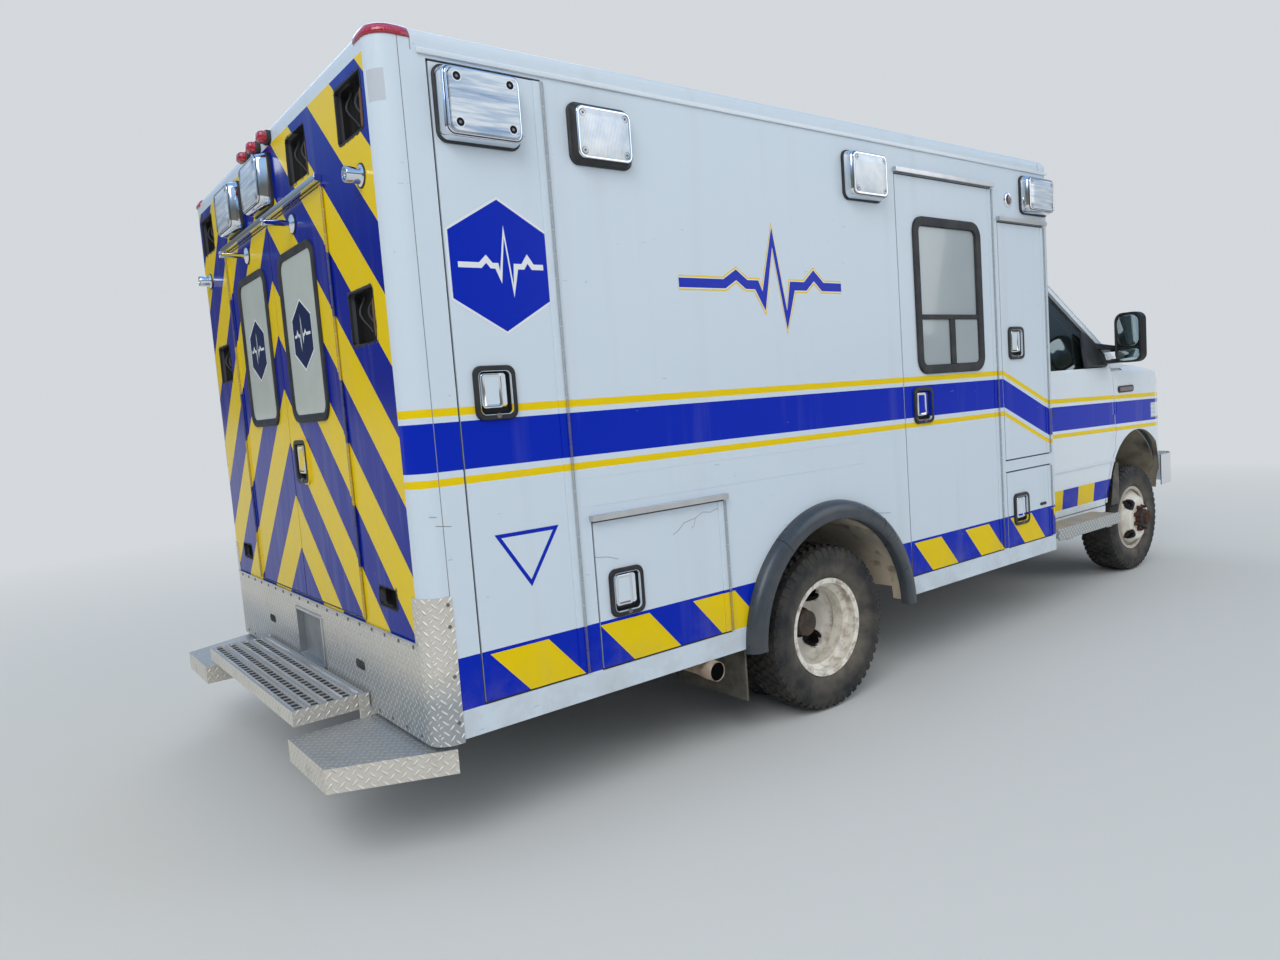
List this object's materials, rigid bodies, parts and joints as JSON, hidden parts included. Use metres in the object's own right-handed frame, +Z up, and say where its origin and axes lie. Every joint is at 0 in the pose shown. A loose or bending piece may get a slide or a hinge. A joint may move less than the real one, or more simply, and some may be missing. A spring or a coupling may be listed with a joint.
{
  "type": "ambulance",
  "caption": "Box-body ambulance on a van cab chassis with twin rear wheels: hollow module and cab, hinged doors, lockers, bonnet, steering and a flip-up rear step.",
  "frame": {"origin": "on the ground under the middle of the vehicle's length and width", "axes": "+X forward along the vehicle, +Y to its left, +Z up"},
  "size_m": [6.445, 2.537, 2.612],
  "materials": {
    "white_paint": "gloss white enamel with coloured stripes",
    "frame_black": "satin black, dusty",
    "cast_block": "rough grey casting",
    "axle_cast": "rusty dark casting",
    "tank_black": "matte black",
    "rusty_steel": "rusty steel tube",
    "module_inner": "plain mill sheet",
    "tread_plate": "bright tread plate",
    "black_rubber": "matte black rubber",
    "lamp_lens": "clear ribbed lens in a bright bezel",
    "chrome": "polished",
    "black_plastic": "moulded, fine grain",
    "window_glass": "tinted",
    "seat_vinyl": "grey vinyl",
    "tyre_rubber": "worn road tyre",
    "wheel_steel": "white painted steel with rust"
  },
  "bodies": {
    "vehicle": {"chassis_frame": "frame_black", "engine_block": "cast_block", "gearbox_and_shaft": "cast_block", "fuel_tank": "tank_black", "exhaust": "rusty_steel", "front_axle": "axle_cast", "rear_axle": "axle_cast", "module_floor": "module_inner", "module_wall_left": "white_paint", "module_wall_right": "white_paint", "module_wall_rear": "white_paint", "module_wall_front": "white_paint", "module_roof": "white_paint", "compartment_liners": "module_inner", "kick_plate": "tread_plate", "step_platforms": "tread_plate", "wheel_flares": "black_rubber", "mud_flaps": "black_rubber", "warning_lamps": "lamp_lens", "door_catches": "chrome", "cab_body": "white_paint", "front_end": "white_paint", "grille": "black_plastic", "headlamps": "lamp_lens", "front_bumper": "chrome", "windscreen": "window_glass", "seats": "seat_vinyl", "dashboard": "black_plastic", "running_boards": "tread_plate"},
    "steer_left": {"knuckle_left": "axle_cast"},
    "wheel_front_left": {"tyre_front_left": "tyre_rubber", "rim_front_left": "wheel_steel"},
    "wheels_rear_left": {"tyres_rear_left": "tyre_rubber", "rims_rear_left": "wheel_steel"},
    "cab_door_left": {"cab_door_left": "white_paint", "cab_window_left": "window_glass"},
    "rear_door_left": {"rear_door_left": "white_paint", "rear_window_left": "window_glass"},
    "steer_right": {"knuckle_right": "axle_cast"},
    "wheel_front_right": {"tyre_front_right": "tyre_rubber", "rim_front_right": "wheel_steel"},
    "wheels_rear_right": {"tyres_rear_right": "tyre_rubber", "rims_rear_right": "wheel_steel"},
    "cab_door_right": {"cab_door_right": "white_paint", "cab_window_right": "window_glass"},
    "rear_door_right": {"rear_door_right": "white_paint", "rear_window_right": "window_glass"},
    "bonnet": {"bonnet": "white_paint"},
    "flip_step": {"flip_step": "tread_plate"},
    "door_rear_tall_right": {"door_rear_tall_right": "white_paint"},
    "door_rear_lower_right": {"door_rear_lower_right": "white_paint"},
    "door_front_tall_right": {"door_front_tall_right": "white_paint"},
    "door_front_lower_right": {"door_front_lower_right": "white_paint"},
    "door_rear_left": {"door_rear_left": "white_paint"},
    "door_middle_left": {"door_middle_left": "white_paint"},
    "door_front_left": {"door_front_left": "white_paint"},
    "entry_door": {"entry_door": "white_paint", "entry_window": "window_glass"}
  },
  "joints": [
    {"name": "steer_left", "type": "hinge", "parent": "vehicle", "child": "steer_left", "pos_m": [2.4855, 0.79, 0.371], "axis": [0, 0, 1], "range_deg": [-30, 30]},
    {"name": "spin_front_left", "type": "hinge", "parent": "steer_left", "child": "wheel_front_left", "pos_m": [2.4855, 0.8815, 0.371], "axis": [0, 1, 0], "continuous": true},
    {"name": "spin_rear_left", "type": "hinge", "parent": "vehicle", "child": "wheels_rear_left", "pos_m": [-1.0195, 1.068, 0.371], "axis": [0, 1, 0], "continuous": true},
    {"name": "cab_door_left", "type": "hinge", "parent": "vehicle", "child": "cab_door_left", "pos_m": [2.1875, 1.0133, 1], "axis": [0, 0, -1], "range_deg": [0, 65]},
    {"name": "rear_door_left", "type": "hinge", "parent": "vehicle", "child": "rear_door_left", "pos_m": [-2.9278, 0.685, 1.5], "axis": [0, 0, -1], "range_deg": [0, 152]},
    {"name": "steer_right", "type": "hinge", "parent": "vehicle", "child": "steer_right", "pos_m": [2.4855, -0.79, 0.371], "axis": [0, 0, 1], "range_deg": [-30, 30]},
    {"name": "spin_front_right", "type": "hinge", "parent": "steer_right", "child": "wheel_front_right", "pos_m": [2.4855, -0.8815, 0.371], "axis": [0, 1, 0], "continuous": true},
    {"name": "spin_rear_right", "type": "hinge", "parent": "vehicle", "child": "wheels_rear_right", "pos_m": [-1.0195, -1.068, 0.371], "axis": [0, 1, 0], "continuous": true},
    {"name": "cab_door_right", "type": "hinge", "parent": "vehicle", "child": "cab_door_right", "pos_m": [2.1875, -1.0133, 1], "axis": [0, 0, 1], "range_deg": [0, 65]},
    {"name": "rear_door_right", "type": "hinge", "parent": "vehicle", "child": "rear_door_right", "pos_m": [-2.9278, -0.685, 1.5], "axis": [0, 0, 1], "range_deg": [0, 152]},
    {"name": "bonnet", "type": "hinge", "parent": "vehicle", "child": "bonnet", "pos_m": [2.4025, 0, 1.452], "axis": [0, -1, 0], "range_deg": [0, 50]},
    {"name": "flip_step", "type": "hinge", "parent": "vehicle", "child": "flip_step", "pos_m": [-2.9485, 0, 0.452], "axis": [0, 1, 0], "range_deg": [0, 85]},
    {"name": "door_rear_tall_right", "type": "hinge", "parent": "vehicle", "child": "door_rear_tall_right", "pos_m": [-2.3455, -1.2118, 1.51], "axis": [0, 0, 1], "range_deg": [0, 90]},
    {"name": "door_rear_lower_right", "type": "hinge", "parent": "vehicle", "child": "door_rear_lower_right", "pos_m": [-1.6475, -1.2118, 0.765], "axis": [0, 0, 1], "range_deg": [0, 90]},
    {"name": "door_front_tall_right", "type": "hinge", "parent": "vehicle", "child": "door_front_tall_right", "pos_m": [0.9095, -1.2118, 1.61], "axis": [0, 0, 1], "range_deg": [0, 90]},
    {"name": "door_front_lower_right", "type": "hinge", "parent": "vehicle", "child": "door_front_lower_right", "pos_m": [0.9095, -1.2118, 0.7065], "axis": [0, 0, 1], "range_deg": [0, 90]},
    {"name": "door_rear_left", "type": "hinge", "parent": "vehicle", "child": "door_rear_left", "pos_m": [-1.6475, 1.2118, 1.0285], "axis": [0, 0, -1], "range_deg": [0, 90]},
    {"name": "door_middle_left", "type": "hinge", "parent": "vehicle", "child": "door_middle_left", "pos_m": [0.3475, 1.2118, 1.0285], "axis": [0, 0, -1], "range_deg": [0, 90]},
    {"name": "door_front_left", "type": "hinge", "parent": "vehicle", "child": "door_front_left", "pos_m": [0.9095, 1.2118, 1.372], "axis": [0, 0, -1], "range_deg": [0, 90]},
    {"name": "entry_door", "type": "hinge", "parent": "vehicle", "child": "entry_door", "pos_m": [0.3835, -1.2118, 1.4545], "axis": [0, 0, 1], "range_deg": [0, 90]}
  ],
  "couplings": [
    {"joint": "steer_right", "follows": "steer_left", "ratio": 1}
  ]
}
